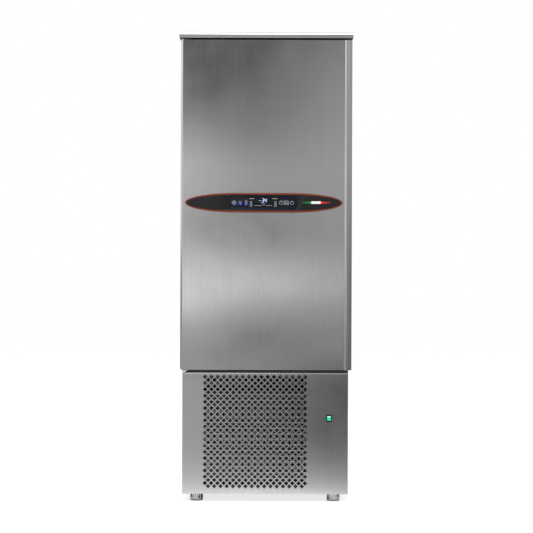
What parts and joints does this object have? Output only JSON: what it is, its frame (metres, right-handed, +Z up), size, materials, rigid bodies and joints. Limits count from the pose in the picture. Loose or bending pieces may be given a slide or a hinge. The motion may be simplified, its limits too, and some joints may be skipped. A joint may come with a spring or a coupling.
{
  "type": "blast chiller",
  "caption": "Upright blast chiller: left-hung insulated door with control fascia over a perforated machine bay, on levelling feet.",
  "frame": {"origin": "on the floor, under the middle of the outer box", "axes": "+Z up, the door faces -Y, +X to the right seen from the front"},
  "size_m": [0.78, 0.8, 2.115],
  "materials": {
    "brushed_steel": "fine vertical brushing",
    "polished_steel": "polished",
    "liner_steel": "bright rolled",
    "galvanised_steel": "galvanised",
    "aluminium_fins": "mill",
    "copper_pipe": "drawn copper",
    "black_enamel": "satin black",
    "black_plastic": "moulded",
    "grey_plastic": "extruded",
    "seal_rubber": "soft",
    "insulating_foam": "closed-cell foam",
    "charcoal_fascia": "satin",
    "rust_red_trim": "satin",
    "display_glass": "gloss",
    "circuit_board": "lacquered",
    "lit_green": "translucent, lit from inside",
    "grey_paint": "powder coat"
  },
  "bodies": {
    "cabinet": {"base_frame": "black_enamel", "side_panel_left": "brushed_steel", "side_panel_right": "brushed_steel", "back_panel": "galvanised_steel", "rear_grille": "galvanised_steel", "front_panel": "brushed_steel", "bay_ceiling": "galvanised_steel", "top_cover": "brushed_steel", "wall_foam": "insulating_foam", "inner_liner": "liner_steel", "door_frame": "grey_plastic", "cable_gland": "black_plastic", "tray_rack_left": "liner_steel", "tray_rack_right": "liner_steel", "core_probe_holder": "black_plastic", "core_probe": "polished_steel", "fan_panel": "liner_steel", "evaporator_coil": "aluminium_fins", "drip_pan": "liner_steel", "expansion_valve": "copper_pipe", "evaporator_fan_motor_1": "black_enamel", "evaporator_fan_motor_2": "black_enamel", "evaporator_fan_motor_3": "black_enamel", "condenser_coil": "aluminium_fins", "condenser_shroud": "galvanised_steel", "condenser_fan_motor": "black_enamel", "compressor": "black_enamel", "liquid_receiver": "black_enamel", "filter_drier": "copper_pipe", "discharge_line": "copper_pipe", "condenser_outlet_line": "copper_pipe", "liquid_line": "copper_pipe", "suction_line": "copper_pipe", "electrical_box": "grey_paint", "condensate_tray": "black_plastic", "switch_housing": "black_plastic", "hinge_bracket_bottom": "polished_steel", "hinge_bracket_top": "polished_steel", "hinge_pin_bottom": "polished_steel", "hinge_pin_top": "polished_steel"},
    "door": {"door_outer_skin": "brushed_steel", "door_foam": "insulating_foam", "door_inner_liner": "liner_steel", "door_gasket": "seal_rubber", "door_handle": "brushed_steel", "control_fascia": "charcoal_fascia", "fascia_trim": "rust_red_trim", "display_window": "display_glass", "control_board": "circuit_board"},
    "rocker": {"switch_rocker": "lit_green"},
    "evaporator_fan_1": {"evaporator_fan_1": "black_plastic"},
    "evaporator_fan_2": {"evaporator_fan_2": "black_plastic"},
    "evaporator_fan_3": {"evaporator_fan_3": "black_plastic"},
    "condenser_fan": {"condenser_fan": "black_enamel"},
    "foot_front_left": {"foot_front_left": "polished_steel"},
    "foot_front_right": {"foot_front_right": "polished_steel"},
    "foot_rear_left": {"foot_rear_left": "polished_steel"},
    "foot_rear_right": {"foot_rear_right": "polished_steel"}
  },
  "joints": [
    {"name": "door_hinge", "type": "hinge", "parent": "cabinet", "child": "door", "pos_m": [-0.365, -0.349, 1.341], "axis": [0, 0, -1], "range_deg": [0, 110]},
    {"name": "rocker_tilt", "type": "hinge", "parent": "cabinet", "child": "rocker", "pos_m": [0.289, -0.3115, 0.379], "axis": [1, 0, 0], "range_deg": [0, 24]},
    {"name": "evaporator_fan_1_spin", "type": "hinge", "parent": "cabinet", "child": "evaporator_fan_1", "pos_m": [0, 0.1422, 0.9165], "axis": [0, 1, 0], "continuous": true},
    {"name": "evaporator_fan_2_spin", "type": "hinge", "parent": "cabinet", "child": "evaporator_fan_2", "pos_m": [0, 0.1422, 1.3365], "axis": [0, 1, 0], "continuous": true},
    {"name": "evaporator_fan_3_spin", "type": "hinge", "parent": "cabinet", "child": "evaporator_fan_3", "pos_m": [0, 0.1422, 1.7565], "axis": [0, 1, 0], "continuous": true},
    {"name": "condenser_fan_spin", "type": "hinge", "parent": "cabinet", "child": "condenser_fan", "pos_m": [-0.047, -0.1597, 0.292], "axis": [0, 1, 0], "continuous": true},
    {"name": "foot_front_left_screw", "type": "slide", "parent": "cabinet", "child": "foot_front_left", "axis": [0, 0, -1], "range_m": [0, 0.04]},
    {"name": "foot_front_right_screw", "type": "slide", "parent": "cabinet", "child": "foot_front_right", "axis": [0, 0, -1], "range_m": [0, 0.04]},
    {"name": "foot_rear_left_screw", "type": "slide", "parent": "cabinet", "child": "foot_rear_left", "axis": [0, 0, -1], "range_m": [0, 0.04]},
    {"name": "foot_rear_right_screw", "type": "slide", "parent": "cabinet", "child": "foot_rear_right", "axis": [0, 0, -1], "range_m": [0, 0.04]}
  ]
}
